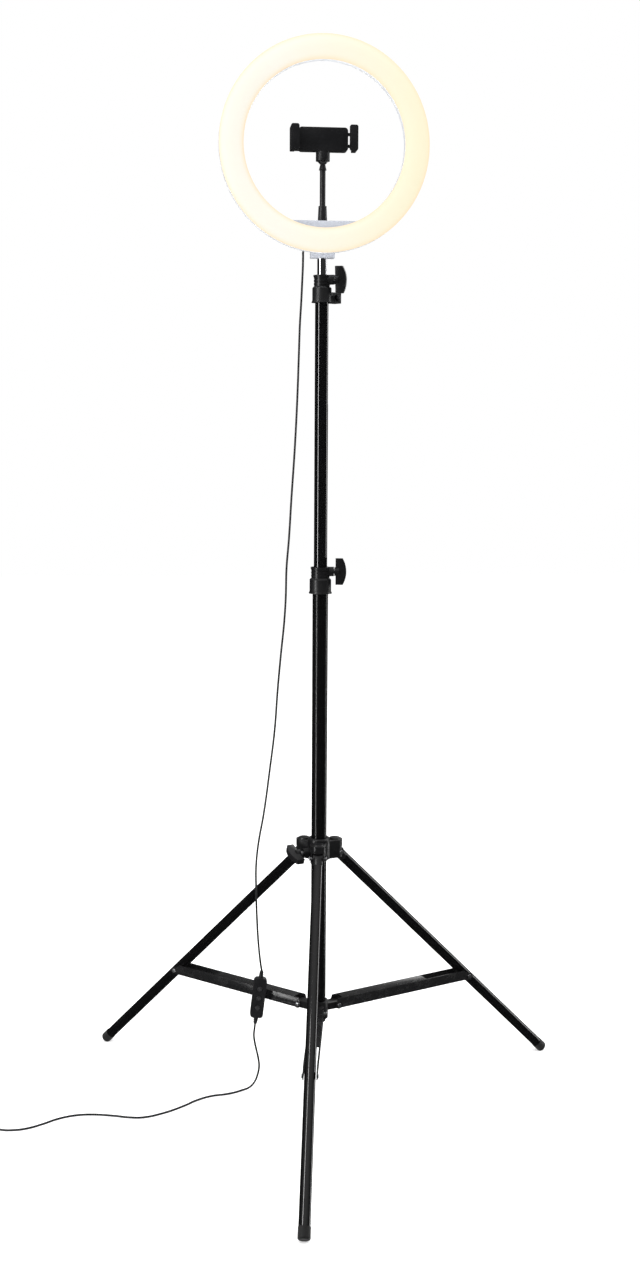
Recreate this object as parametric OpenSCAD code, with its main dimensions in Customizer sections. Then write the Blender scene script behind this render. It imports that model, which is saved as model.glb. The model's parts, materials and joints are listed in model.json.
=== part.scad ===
// Ring light on a folding three-leg stand: ring lamp, phone clamp, two telescoping poles,
// USB lead with an inline controller. Millimetres, +Z up, lamp facing -Y,
// origin on the floor under the column's axis.

/* [Column and poles] */
// Outer diameter of the lower column tube
column_d = 19.6; // [18:0.1:24]
// Wall of the lower column tube
column_wall = 1.2; // [0.8:0.1:1.4]
// Length of the lower column tube
column_len = 578; // [500:1:700]
// Height of the column's lower end above the floor
column_foot_z = 110.5; // [95:0.5:118]
// Outer diameter of the middle pole
mid_d = 16.8; // [14:0.1:17]
// Wall of the middle pole
mid_wall = 0.9; // [0.7:0.1:1.2]
// Length of the middle pole
mid_len = 590; // [500:1:640]
// How far the middle pole stands out of the column
mid_out = 359; // [250:1:420]
// Outer diameter of the chrome top pole
top_d = 12; // [10:0.1:12.6]
// Wall of the top pole
top_wall = 0.8; // [0.6:0.1:1.2]
// Length of the top pole
top_len = 490; // [300:1:560]
// How far the top pole stands out of the middle pole
top_out = 36.5; // [30:0.5:200]
// Radial clearance of a sliding fit
slide_gap = 0.06; // [0.02:0.01:0.1]

/* [Legs] */
// Leg length from its pivot to the end of its foot
leg_len = 471; // [420:1:540]
// Outer diameter of a leg tube
leg_d = 13.6; // [12:0.1:15]
// Wall of a leg tube
leg_wall = 1; // [0.8:0.1:1.4]
// Angle between an open leg and the vertical
leg_spread = 45.3; // [38:0.1:50]
// Turn of the front leg away from -Y
leg_turn = -8.2; // [-30:0.1:30]
// Distance of the leg and brace pivots from the column's axis
pivot_r = 27; // [26:0.5:34]
// How much wider than its leg a rubber foot cap is
foot_over = 1; // [0.6:0.1:2]
// Length of the rubber foot caps
foot_len = 14; // [12:1:40]
// Thickness of a foot cap's closed end
foot_floor = 3; // [2:0.5:5]
// Edge radius of a foot cap's closed end
foot_round = 2.5; // [1:0.5:4]
// Depth of the small flat where a foot rests on the floor
sole_cut = 0.8; // [0.4:0.1:1.2]

/* [Braces] */
// Distance of the brace rivet from the leg pivot, along the leg
brace_at = 286; // [250:1:320]
// Height of the brace pivots on the lower bracket
bracket_z = 128; // [120:1:150]
// Clearance between a folded leg and each side of its brace
brace_side = 0.8; // [0.6:0.1:2]
// Sheet thickness of a brace
brace_sheet = 1.2; // [1:0.1:1.6]
// Depth of the brace channel below its pivot line
brace_low = 4.2; // [4:0.1:5]
// Clearance between a folded leg and its brace's web
web_room = 1.2; // [0.8:0.1:3]
// Length of the web, which ends where the leg passes through
brace_web_len = 129; // [60:1:129]
// Diameter of the rivets
rivet_d = 4; // [3:0.1:5]
// Diameter of the rivet heads
rivet_head_d = 5.6; // [5.4:0.1:8]
// Radial clearance of a pivot hole around its rivet
pivot_gap = 0.08; // [0.03:0.01:0.1]

/* [Hub and collars] */
// Wall of the hub's sleeve
hub_wall = 4.7; // [4:0.1:6]
// Wall of a hub lug beside its leg
lug_wall = 2.8; // [2:0.1:5]
// Side clearance of a leg top in its slot
slot_gap = 0.4; // [0.2:0.05:1]
// Height of the hub above the leg pivots
hub_rise = 19.5; // [15:0.5:30]
// Depth of the hub below the leg pivots
hub_drop = 6.5; // [5.5:0.5:9]
// Angle of the hub's knob, from +X
hub_knob_turn = -156; // [-165:1:-150]
// Height of the hub's knob over the leg pivots
hub_knob_rise = 3; // [0:0.5:8]
// Wall of the middle collar's sleeve
middle_collar_wall = 3.8; // [3:0.1:6]
// Wall of the top collar's sleeve
top_collar_wall = 3.5; // [3:0.1:5]
// Length of a collar's sleeve below its step
collar_sleeve = 19.5; // [15:0.5:30]
// Length of a collar's neck above its step
collar_neck = 13.5; // [12:0.5:20]
// How much a collar's neck is smaller than its sleeve
collar_step = 3.6; // [2:0.1:4]
// Angle of the middle collar's knob, from +X
middle_knob_turn = -6; // [-40:1:40]
// Angle of the top collar's knob, from +X
top_knob_turn = -20; // [-40:1:40]
// Angle of the clamp ear on the top collar, from +X
ear_turn = 34; // [30:1:60]

/* [Knobs] */
// Length of a wing knob across its wing
wing_len = 33; // [28:0.5:38]
// Depth of a wing knob along its screw
wing_depth = 13.5; // [10:0.5:16]
// Thickness of a wing
wing_t = 7; // [5:0.5:9]
// Diameter of a knob's screw
screw_d = 6; // [5:0.5:6]

/* [Ring lamp] */
// Outer diameter of the ring
ring_d = 254; // [230:1:310]
// Width of the ring's band
ring_band = 29.5; // [24:0.5:36]
// Depth of the white rear shell
shell_depth = 15; // [12:0.5:22]
// Wall of the rear shell
shell_wall = 1.8; // [1.2:0.1:2.5]
// How far the crowned diffuser stands out of the shell
diffuser_crown = 5; // [2:0.5:8]
// Thickness of the diffuser
diffuser_t = 1.6; // [1:0.1:2.4]
// Number of light-emitting chips
led_count = 60; // [24:1:96]
// Gap from the ring's lowest point down to the bottom of the socket block
block_drop = 4.5; // [3:0.5:12]
// Width of the socket block
block_w = 29; // [26:1:34]
// Depth of the base housing behind the ring
base_depth = 18; // [16:0.5:24]
// Distance of the ring's rear face in front of the column's axis
ring_front = 10; // [8:0.5:14]
// Width of the base housing behind the ring
base_w = 100; // [90:1:110]
// Height of the base housing's top edge over the ring's lowest point
base_over = 39.5; // [32:0.5:44]
// Height of the upper part of the base housing
base_h = 23; // [18:0.5:23]
// Wall of the base housing
base_wall = 2; // [1.4:0.1:3]
// Diameter of the tripod stud, a quarter-inch thread
stud_d = 6.35; // [6:0.05:6.35]

/* [Phone clamp] */
// Length of the stalk from the base housing to the ball's centre
stalk_len = 73; // [60:1:110]
// Diameter of the stalk's neck
stalk_d = 7; // [5:0.1:8]
// Diameter of the stalk's ferrules
ferrule_d = 11.5; // [10:0.1:13]
// Diameter of the ball
ball_d = 13; // [11:0.1:16]
// Opening between the jaw pads
jaw_gap = 66; // [56:1:84]
// Height of the jaws
jaw_h = 30; // [24:1:36]
// Thickness of a jaw's wall
jaw_t = 5.2; // [4:0.1:7]
// How far the jaws reach in front of the clamp's body
jaw_reach = 15; // [10:0.5:20]
// Thickness of a jaw pad
pad_t = 1.8; // [1:0.1:3]
// Diameter of the jaw's guide rods
rod_d = 4; // [3:0.1:5]

/* [Lead and controller] */
// Diameter of the lead
cord_d = 2.6; // [2.2:0.1:3.4]
// Length of the controller's case
case_len = 54; // [48:1:64]
// Width of the controller's case
case_w = 17; // [15:0.5:20]
// Thickness of the controller's case
case_t = 10; // [9:0.5:12]
// Lean of the hanging controller
case_lean = 6.9; // [0:0.1:12]
// Diameter of the controller's buttons
button_d = 6; // [5:0.1:7]
// Distance between the controller's buttons
button_pitch = 13; // [11:0.5:15]

/* [Hidden] */
$fn = 64;
eps = 0.01;

// Heights that follow from the legs, the column and the poles
foot_d = leg_d + foot_over;
pivot_z = (leg_len - foot_round) * cos(leg_spread) + (foot_d / 2 - foot_round) * sin(leg_spread)
    + foot_round - sole_cut;
column_top = column_foot_z + column_len;
mid_top = column_top + mid_out;
top_top = mid_top + top_out;
block_z = top_top + 0.2;
ring_z = block_z + block_drop + ring_d / 2;
leg_angles = [-90 + leg_turn, 30 + leg_turn, 150 + leg_turn];

// The brace runs from the bracket's pivot to its rivet on the leg
brace_gap = leg_d + 2 * brace_side;
brace_web_at = leg_d / 2 + web_room;
brace_end = [pivot_r + brace_at * sin(leg_spread), pivot_z - brace_at * cos(leg_spread)];
brace_len = norm(brace_end - [pivot_r, bracket_z]);
brace_lift = atan2(brace_end[1] - bracket_z, brace_end[0] - pivot_r);
brace_out = brace_gap / 2 + brace_sheet;
ear_r = brace_low + 0.8;
web_from = 6;

// Hub and lower bracket
hub_d = column_d + 2 * hub_wall;
eye_r = leg_d / 2;
eye_w = leg_d - 1.2;
slot_w = leg_d + 2 * slot_gap;
lug_w = slot_w + 2 * lug_wall;
lug_r = pivot_r - 4;
eye_room = 0.8;
head_h = 1.2;
bracket_r = column_d / 2 + 3.2;
bracket_tongue = brace_gap - 2;

// Leg pieces
leg_end_head = 12;
leg_end_tail = 24;
insert_gap = 0.05;

// Collars and their knobs
middle_collar_d = column_d + 2 * middle_collar_wall;
top_collar_d = mid_d + 2 * top_collar_wall;
rim_h = 3;
rim_out = 1.1;
boss_d = 12;
tip_gap = 0.4;
knob_rise = 8;
boss_out = 3.4;
knob_out = 5.4;
hub_knob_out = 10;
ear_w = 12;
ear_h = 13;
ear_reach = top_collar_d / 2 + 14.1;
bolt_d = 4;
hub_boss = hub_d / 2 + 5.5;

// Ring: the shell opens towards -Y and the diffuser closes it
ring_hole_d = ring_d - 2 * ring_band;
ring_mid_r = (ring_d - ring_band) / 2;
shell_chamfer = 3;
board_lift = 4;
board_t = 1.2;
lip = 2.5;
rim_gap = 0.03;
crown_half = ring_band / 2;
lip_at = ring_band / 2 - shell_wall - 0.15 - diffuser_t / 2;
crown_r = (crown_half * crown_half + diffuser_crown * diffuser_crown) / (2 * diffuser_crown);

// Base housing behind the ring
base_low_w = block_w + 1;
base_low_z = block_z + block_drop + 3;
insert_d = 10;
insert_len = 12;
gland_turn = 135;
gland_end_r = 23;
gland_d = 6.4;
gland_z = block_z + 12.5;

// Phone clamp
base_top_z = block_z + block_drop + base_over;
ball_z = base_top_z + stalk_len;
jaw_top = 8;
clamp_z = ball_z + jaw_top;
clamp_t = 12;
clamp_y = -8;
ferrule_h = 18;
ferrule_small = ferrule_d - 1.6;
jaw_lip = 2.6;
jaw_lip_t = 3.5;
jaw_corner = 2.5;
jaw_flare = 0.5;
rod_in = 42;
rod_gap = 0.1;
socket_d = 17;
stalk_pin_d = 5;

// Controller, hanging on the lead
case_at = [-76, 32, 131];
relief_len = 9.5;
relief_d = 6.4;
relief_tip_d = 4.2;
case_round = 4;
case_skin = 1.6;
button_out = 1;
button_gap = 0.25;

// Coil of spare lead, its tie, and the plug beside it
coil_at = [-444, -52];
coil_r = 15.5;
coil_half = 4.1;
coil_h = 5.7;
tie_t = 0.8;
tie_w = 9;
tie_room = 1.2;
plug_at = [-466, -33];
plug_w = 16;
plug_h = 8;
plug_len = 26;
plug_relief = 8;
plug_shell = [12, 12, 4.5];

// The lead's route: gland to controller, and controller along the floor to the coil
upper_route = [[-16.4, 16.4, 1096.7], [-19, 19, 1096.6], [-21, 22.5, 1094.5], [-21, 26, 1088],
    [-21, 29, 1076], [-21.5, 31, 1060], [-22.5, 33, 1034], [-24, 34, 1006], [-25, 34, 974],
    [-27, 34, 913], [-30, 34, 851], [-34, 34, 789], [-37, 34, 738], [-40, 34, 700], [-41, 33, 662],
    [-43, 33, 630], [-47, 33, 590], [-51, 33, 545], [-55, 33, 490], [-61, 33, 440], [-69, 33, 380],
    [-76, 33, 340], [-79, 33, 310], [-79, 33, 280], [-78, 32, 240], [-76, 32, 205], [-73, 32, 176],
    [-71.6, 32, 167.3]];
lower_route = [[-80.4, 32, 94.7], [-81.2, 32, 88], [-82, 33, 78], [-80, 33, 64], [-76, 33, 45],
    [-75, 34, 34], [-77, 35, 22], [-81, 35, 12], [-88, 35, 4.5], [-98, 33, 1.8], [-110, 27, 1.4],
    [-122, 23, 1.4], [-138, 20, 1.4], [-158, 9, 1.4], [-176, -7, 1.4], [-203, -26, 1.4],
    [-229, -36, 1.4], [-247, -34, 1.4], [-265, -28, 1.4], [-299, -21, 1.4], [-319, -23, 1.4],
    [-338, -31, 1.4], [-356, -44, 1.4], [-374, -54, 1.4], [-390, -57, 1.4], [-407, -54, 1.4],
    [-419, -43, 1.4], [-431, -36, 1.8], [-444, -33.8, 2.2]];

// A smooth curve through a route's points, with steps points to each of its spans
function along(a, b, c, d, t) = 0.5 * (2 * b + (c - a) * t + (2 * a - 5 * b + 4 * c - d) * t * t
    + (3 * b - a - 3 * c + d) * t * t * t);
function smooth(route, steps) = let (n = len(route) - 1)
    concat([for (i = [0:n - 1], k = [0:steps - 1])
        along(route[max(i - 1, 0)], route[i], route[i + 1], route[min(i + 2, n)], k / steps)], [route[n]]);
function unit(v) = v / norm(v);
function heading(path, i) = unit(path[min(i + 1, len(path) - 1)] - path[max(i - 1, 0)]);
// Sideways directions carried along the path, so the tube never twists
function carry(path, i, side) = i == len(path) ? [] :
    let (way = heading(path, i), next = unit(side - way * (side * way)))
    concat([next], carry(path, i + 1, next));

// A round tube of lead swept along a path
module sweep(path, d) {
    sides = 8;
    across = carry(path, 0, [0.3, -0.9, 0.2]);
    count = len(path);
    points = [for (i = [0:count - 1], k = [0:sides - 1])
        let (a = k * 360 / sides, u = across[i], v = cross(heading(path, i), u))
        path[i] + d / 2 * (cos(a) * u + sin(a) * v)];
    walls = [for (i = [0:count - 2], k = [0:sides - 1])
        let (m = (k + 1) % sides)
        [i * sides + m, i * sides + k, (i + 1) * sides + k, (i + 1) * sides + m]];
    polyhedron(points, concat(walls, [[for (k = [0:sides - 1]) k],
        [for (k = [sides - 1:-1:0]) (count - 1) * sides + k]]));
}

// A hollow tube standing on z = 0
module tube(d, wall, h) {
    difference() {
        cylinder(d = d, h = h);
        translate([0, 0, -1]) cylinder(d = d - 2 * wall, h = h + 2);
    }
}

// A flat outline with round corners, centred
module round_box(w, h, r) {
    square([w - 2 * r, h], center = true);
    square([w, h - 2 * r], center = true);
    for (x = [-1, 1], y = [-1, 1]) translate([x * (w / 2 - r), y * (h / 2 - r)]) circle(r);
}

// Places pieces on leg i: local Z runs down the leg, local Y across it
module on_leg(i) {
    rotate([0, 0, leg_angles[i]]) translate([pivot_r, 0, pivot_z])
        rotate([0, 180 - leg_spread, 0]) children();
}

// Places pieces on brace i: local X runs out along the brace, local Z is its upper side
module on_brace(i) {
    rotate([0, 0, leg_angles[i]]) translate([pivot_r, 0, bracket_z]) rotate([0, -brace_lift, 0]) children();
}

// A pin across the local Y axis, centred
module cross_pin(d, w) {
    rotate([90, 0, 0]) cylinder(d = d, h = w, center = true);
}

// Places pieces on a knob's screw: local Z points outwards along it
module on_knob(turn, z) {
    translate([0, 0, z]) rotate([0, 0, turn]) rotate([0, 90, 0]) children();
}

// A wing knob, from distance start along its screw; tilt turns the wing about the screw
module wing(start, tilt) {
    rotate([0, 0, tilt]) {
        rotate([90, 0, 0]) linear_extrude(wing_t, center = true) intersection() {
            translate([-wing_len / 2, start]) square([wing_len, wing_depth]);
            translate([0, start + wing_depth - wing_len]) circle(wing_len);
        }
    }
    translate([0, 0, start - 1.5]) cylinder(d = 11, h = 6);
}

// The knob's screw, from its tip to inside the wing
module knob_screw(tip, start) {
    translate([0, 0, tip]) cylinder(d = screw_d - 0.01, h = start - 1.5 - tip);
}

// A pole collar: a sleeve over the outer tube, and a ribbed neck around the inner one
module collar(d, outer_d, inner_d, seat, knob_turn) {
    neck_d = d - collar_step;
    step_z = seat + 3;
    boss_end = d / 2 + boss_out;
    difference() {
        union() {
            translate([0, 0, step_z - collar_sleeve]) cylinder(d = d, h = collar_sleeve - 2);
            translate([0, 0, step_z - 2]) cylinder(d1 = d, d2 = neck_d, h = 2);
            translate([0, 0, step_z - collar_sleeve]) cylinder(d1 = d + 2 * rim_out, d2 = d, h = rim_h);
            translate([0, 0, step_z - eps]) cylinder(d = neck_d - 1, h = collar_neck);
            for (k = [0:2]) translate([0, 0, step_z + 1.5 + k * 4]) cylinder(d = neck_d, h = 2.4);
            translate([0, 0, step_z + collar_neck - 2]) cylinder(d = neck_d + 1.2, h = 2);
            on_knob(knob_turn, step_z + knob_rise) cylinder(d = boss_d, h = boss_end);
            children();
        }
        translate([0, 0, seat - 100]) cylinder(d = outer_d + 2 * insert_gap, h = 100);
        translate([0, 0, seat - eps]) cylinder(d = inner_d + 2 * slide_gap, h = 100);
        on_knob(knob_turn, step_z + knob_rise) cylinder(d = screw_d + 0.2, h = 100);
    }
}

module column_tube() {
    color("black") difference() {
        translate([0, 0, column_foot_z]) tube(column_d, column_wall, column_len);
    }
}

module column_plug() {
    inner = column_d - 2 * column_wall - 2 * insert_gap;
    color("dimgray") {
        translate([0, 0, column_foot_z - 1.5]) cylinder(d = column_d, h = 1.5);
        translate([0, 0, column_foot_z - eps]) cylinder(d = inner, h = 10);
    }
}

module lower_bracket() {
    color("dimgray") difference() {
        union() {
            translate([0, 0, bracket_z - 14]) cylinder(r = bracket_r, h = 23);
            for (i = [0:2]) rotate([0, 0, leg_angles[i]]) {
                translate([pivot_r, 0, bracket_z]) cross_pin(2 * ear_r - 0.8, bracket_tongue);
                translate([0, -bracket_tongue / 2, bracket_z - ear_r + 0.4])
                    cube([pivot_r, bracket_tongue, 2 * ear_r - 0.8]);
            }
        }
        cylinder(d = column_d + 2 * insert_gap, h = 400);
        for (i = [0:2]) rotate([0, 0, leg_angles[i]])
            translate([pivot_r, 0, bracket_z]) cross_pin(rivet_d + 0.02, 40);
    }
}

module rivet(half) {
    cross_pin(rivet_d, 2 * half + 0.4);
    for (s = [-1, 1]) translate([0, s * (half + 0.2 + head_h / 2), 0]) cross_pin(rivet_head_d, head_h);
}

module bracket_rivets() {
    color("silver") for (i = [0:2]) rotate([0, 0, leg_angles[i]])
        translate([pivot_r, 0, bracket_z]) rivet(brace_out);
}

module middle_collar() {
    color("dimgray") collar(middle_collar_d, column_d, mid_d, column_top, middle_knob_turn);
}

module middle_knob() {
    color("dimgray") on_knob(middle_knob_turn, column_top + 3 + knob_rise)
        wing(middle_collar_d / 2 + knob_out, 0);
}

module middle_screw() {
    color("silver") on_knob(middle_knob_turn, column_top + 3 + knob_rise)
        knob_screw(mid_d / 2 + tip_gap, middle_collar_d / 2 + knob_out);
}

module mid_tube() {
    color("black") translate([0, 0, mid_top - mid_len]) tube(mid_d, mid_wall, mid_len);
}

// Guide bush on the hidden lower end of the middle pole
module mid_bush() {
    outer = column_d - 2 * column_wall - 2 * slide_gap;
    color("white") difference() {
        union() {
            translate([0, 0, mid_top - mid_len - 3]) cylinder(d = outer, h = 3);
            translate([0, 0, mid_top - mid_len - eps])
                cylinder(d = mid_d - 2 * mid_wall - 2 * insert_gap, h = 12);
        }
        translate([0, 0, mid_top - mid_len - 5]) cylinder(d = mid_d - 2 * mid_wall - 4, h = 30);
    }
}

module top_collar() {
    color("dimgray") difference() {
        collar(top_collar_d, mid_d, top_d, mid_top, top_knob_turn) {
            rotate([0, 0, ear_turn]) translate([0, -ear_w / 2, mid_top + 3 - collar_sleeve])
                cube([ear_reach, ear_w, ear_h]);
        }
        // saw cut between the two cheeks of the clamp ear
        rotate([0, 0, ear_turn]) translate([mid_d / 2, -0.8, mid_top - 40])
            cube([40, 1.6, 40 + 3 - 2 - eps]);
        rotate([0, 0, ear_turn]) translate([ear_reach - 6, 0, mid_top + 3 - collar_sleeve + ear_h / 2])
            cross_pin(bolt_d + 0.2, 40);
    }
}

module clamp_bolt() {
    color("silver") rotate([0, 0, ear_turn])
        translate([ear_reach - 6, 0, mid_top + 3 - collar_sleeve + ear_h / 2]) {
            cross_pin(bolt_d, ear_w + 3);
            for (s = [-1, 1]) translate([0, s * (ear_w / 2 + 1.5), 0]) rotate([90, 0, 0])
                cylinder(d = 7.6, h = 2.9, center = true, $fn = 6);
        }
}

module top_knob() {
    color("dimgray") on_knob(top_knob_turn, mid_top + 3 + knob_rise) wing(top_collar_d / 2 + knob_out, 6);
}

module top_screw() {
    color("silver") on_knob(top_knob_turn, mid_top + 3 + knob_rise)
        knob_screw(top_d / 2 + tip_gap, top_collar_d / 2 + knob_out);
}

module top_tube() {
    color("lightgray") translate([0, 0, top_top - top_len]) tube(top_d, top_wall, top_len);
}

// Guide bush on the hidden lower end of the top pole
module top_bush() {
    outer = mid_d - 2 * mid_wall - 2 * slide_gap;
    color("white") difference() {
        union() {
            translate([0, 0, top_top - top_len - 3]) cylinder(d = outer, h = 3);
            translate([0, 0, top_top - top_len - eps])
                cylinder(d = top_d - 2 * top_wall - 2 * insert_gap, h = 12);
        }
        translate([0, 0, top_top - top_len - 5]) cylinder(d = top_d - 2 * top_wall - 4, h = 30);
    }
}

// Quarter-inch stud that the lamp screws on to, with its plug in the top pole
module tripod_stud() {
    color("silver") {
        translate([0, 0, top_top - 14]) cylinder(d = top_d - 2 * top_wall - 2 * insert_gap, h = 14);
        translate([0, 0, top_top - eps]) cylinder(d = stud_d, h = 10);
    }
}

module leg_hub() {
    low = pivot_z - hub_drop;
    high = pivot_z + hub_rise;
    color("dimgray") difference() {
        union() {
            translate([0, 0, low]) linear_extrude(high - low - 3) {
                circle(d = hub_d);
                for (i = [0:2]) rotate(leg_angles[i]) {
                    translate([lug_r, 0]) circle(d = lug_w);
                    translate([0, -lug_w / 2]) square([lug_r, lug_w]);
                }
            }
            for (i = [0:2]) rotate([0, 0, leg_angles[i]])
                translate([lug_r, 0, high - 5]) cylinder(d1 = lug_w - 1, d2 = lug_w - 7, h = 4);
            translate([0, 0, high - 5]) cylinder(d = hub_d - 0.6, h = 5.01);
            translate([0, 0, high]) cylinder(d1 = hub_d - 0.6, d2 = hub_d - 3, h = 1.5);
            on_knob(hub_knob_turn, pivot_z + hub_knob_rise) cylinder(d = boss_d, h = hub_boss + 4);
        }
        translate([0, 0, low - 1]) cylinder(d = column_d + 2 * slide_gap, h = high - low + 4);
        on_knob(hub_knob_turn, pivot_z + hub_knob_rise) cylinder(d = screw_d + 0.2, h = 60);
        for (i = [0:2]) rotate([0, 0, leg_angles[i]]) {
            translate([pivot_r - eye_r - eye_room, -slot_w / 2, low - 1])
                cube([40, slot_w, hub_drop + 1 + eye_r + eye_room]);
            translate([pivot_r, 0, pivot_z]) cross_pin(rivet_d + 0.02, 40);
        }
    }
}

module hub_rivets() {
    color("silver") for (i = [0:2]) rotate([0, 0, leg_angles[i]])
        translate([pivot_r, 0, pivot_z]) rivet(lug_w / 2);
}

module hub_knob() {
    color("dimgray") on_knob(hub_knob_turn, pivot_z + hub_knob_rise) wing(hub_boss + hub_knob_out, 68);
}

module hub_screw() {
    color("silver") on_knob(hub_knob_turn, pivot_z + hub_knob_rise)
        knob_screw(column_d / 2 + tip_gap, hub_boss + hub_knob_out);
}

module leg(i) {
    color("black") on_leg(i) translate([0, 0, leg_end_head])
        tube(leg_d, leg_wall, leg_len - foot_floor - leg_end_head);
}

// Plastic eye that closes the top of a leg and turns on the hub's rivet
module leg_end(i) {
    color("dimgray") on_leg(i) difference() {
        union() {
            cylinder(r = eye_r, h = leg_end_head);
            cross_pin(2 * eye_r, eye_w);
            translate([0, 0, leg_end_head - eps])
                cylinder(d = leg_d - 2 * leg_wall - 2 * insert_gap, h = leg_end_tail - leg_end_head);
        }
        cross_pin(rivet_d + 2 * pivot_gap, 40);
    }
}

// Rubber cap on a leg's end, with a small flat where it rests on the floor
module foot(i) {
    color("black") difference() {
        on_leg(i) difference() {
            translate([0, 0, leg_len - foot_len]) rotate_extrude() {
                square([foot_d / 2 - foot_round, foot_len]);
                square([foot_d / 2, foot_len - foot_round]);
                translate([foot_d / 2 - foot_round, foot_len - foot_round]) circle(foot_round);
            }
            translate([0, 0, leg_len - foot_len - 1])
                cylinder(d = leg_d + 2 * insert_gap, h = foot_len - foot_floor + 1);
        }
        translate([-1000, -1000, -50]) cube([2000, 2000, 50]);
    }
}

// Sheet-steel channel, open below, with an open fork where the leg folds into it
module brace(i) {
    color("black") on_brace(i) {
        difference() {
            for (s = [-1, 1]) translate([0, s * (brace_out - brace_sheet / 2), 0]) rotate([90, 0, 0])
                linear_extrude(brace_sheet, center = true) {
                    circle(ear_r);
                    translate([brace_len, 0]) circle(ear_r);
                    polygon([[0, -brace_low], [brace_len, -brace_low], [brace_len, ear_r * 0.6],
                        [brace_len - 9, brace_web_at + brace_sheet], [-1.5, brace_web_at + brace_sheet],
                        [0.5 - ear_r, ear_r * 0.2]]);
                }
            for (x = [0, brace_len]) translate([x, 0, 0]) cross_pin(rivet_d + 2 * pivot_gap, 40);
        }
        translate([web_from, -brace_out, brace_web_at])
            cube([brace_web_len, 2 * brace_out, brace_sheet]);
    }
}

// The two heads of the rivet through a brace and its leg, each with its shank in the brace's ear
module brace_rivet(i) {
    color("silver") on_brace(i) translate([brace_len, 0, 0]) for (s = [-1, 1]) {
        translate([0, s * (brace_out - brace_sheet / 2), 0]) cross_pin(rivet_d, brace_sheet + 0.2);
        translate([0, s * (brace_out + 0.1 + head_h / 2), 0]) cross_pin(rivet_head_d, head_h);
    }
}

// Places pieces on the ring: local Z points forwards, from the shell's rear face
module on_ring() {
    translate([0, -ring_front, ring_z]) rotate([90, 0, 0]) children();
}

module ring_shell() {
    in_r = ring_hole_d / 2;
    out_r = ring_d / 2;
    c = shell_chamfer;
    w = shell_wall;
    color("white") on_ring() rotate_extrude($fn = 128) polygon([
        [in_r + c, 0], [out_r - c, 0], [out_r, c], [out_r, shell_depth], [out_r - w, shell_depth],
        [out_r - w, c + w / 2], [out_r - c - w / 2, w], [in_r + c + w / 2, w], [in_r + w, c + w / 2],
        [in_r + w, shell_depth], [in_r, shell_depth], [in_r, c]]);
}

// Crowned opal cover, with two lips down inside the shell
module diffuser() {
    color("lightyellow") on_ring() rotate_extrude($fn = 128) {
        translate([ring_mid_r, shell_depth + rim_gap]) difference() {
            intersection() {
                translate([0, diffuser_crown - crown_r]) circle(crown_r, $fn = 256);
                translate([-crown_half, 0]) square([2 * crown_half, diffuser_crown + 1]);
            }
            translate([0, diffuser_crown - crown_r - diffuser_t]) circle(crown_r, $fn = 256);
        }
        for (s = [-1, 1]) translate([ring_mid_r + s * lip_at, shell_depth - lip / 2 + 0.3])
            square([diffuser_t, lip + 1], center = true);
    }
}

module led_board() {
    color("seagreen") on_ring() translate([0, 0, board_lift]) difference() {
        cylinder(r = ring_d / 2 - shell_wall - 2.5, h = board_t, $fn = 128);
        translate([0, 0, -1]) cylinder(r = ring_hole_d / 2 + shell_wall + 2.5, h = board_t + 2, $fn = 128);
    }
}

module led_chips() {
    color("yellow") on_ring() for (k = [0:led_count - 1]) rotate([0, 0, k * 360 / led_count])
        translate([ring_mid_r, 0, board_lift + board_t + 0.5]) cube([3.5, 2.8, 1], center = true);
}

// Outline of the base housing, seen from the front: inset leaves room for the walls
module base_outline(inset) {
    translate([0, base_top_z - base_h / 2]) round_box(base_w - 2 * inset, base_h - 2 * inset, 4 - inset);
    translate([-base_low_w / 2 + inset, base_low_z + inset])
        square([base_low_w - 2 * inset, base_top_z - base_h / 2 - base_low_z - inset]);
}

module base_housing() {
    back = base_depth - ring_front;
    color("whitesmoke") difference() {
        union() {
            translate([0, back - base_wall, 0]) rotate([90, 0, 0])
                linear_extrude(base_depth - base_wall - 0.05) base_outline(0);
            translate([-block_w / 2, -ring_front + 0.05, block_z])
                cube([block_w, base_depth - base_wall - 0.05, block_drop + 12]);
        }
        difference() {
            translate([0, back - base_wall + 1, 0]) rotate([90, 0, 0])
                linear_extrude(base_depth - 2 * base_wall + 1) base_outline(base_wall);
            translate([-block_w / 2, -ring_front, block_z]) cube([block_w, base_depth, block_drop + 12]);
            translate([0, -1, base_top_z - 10]) cylinder(d = ferrule_d + 2, h = 10);
        }
        translate([0, 0, block_z - 1]) cylinder(d = insert_d + 2 * insert_gap, h = insert_len + 1);
        translate([0, -1, base_top_z - 8]) cylinder(d = stalk_pin_d + 2 * pivot_gap, h = 20);
        rotate([0, 0, gland_turn]) translate([0, 0, gland_z]) rotate([0, 90, 0])
            cylinder(d = gland_d + 0.2, h = gland_end_r + 10);
    }
}

module base_cover() {
    back = base_depth - ring_front;
    color("whitesmoke") difference() {
        translate([0, back, 0]) rotate([90, 0, 0]) linear_extrude(base_wall - 0.05) base_outline(0);
        for (s = [-1, 1]) translate([s * (base_w / 2 - 8), back - base_wall, base_top_z - base_h / 2])
            rotate([-90, 0, 0]) cylinder(d = 3.2, h = 5);
        rotate([0, 0, gland_turn]) translate([0, 0, gland_z]) rotate([0, 90, 0])
            cylinder(d = gland_d + 0.2, h = gland_end_r + 10);
    }
}

// Brass threaded insert that takes the stud
module socket_insert() {
    color("gold") translate([0, 0, block_z]) difference() {
        cylinder(d = insert_d, h = insert_len);
        translate([0, 0, -1]) cylinder(d = stud_d + 0.12, h = 12);
    }
}

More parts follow.
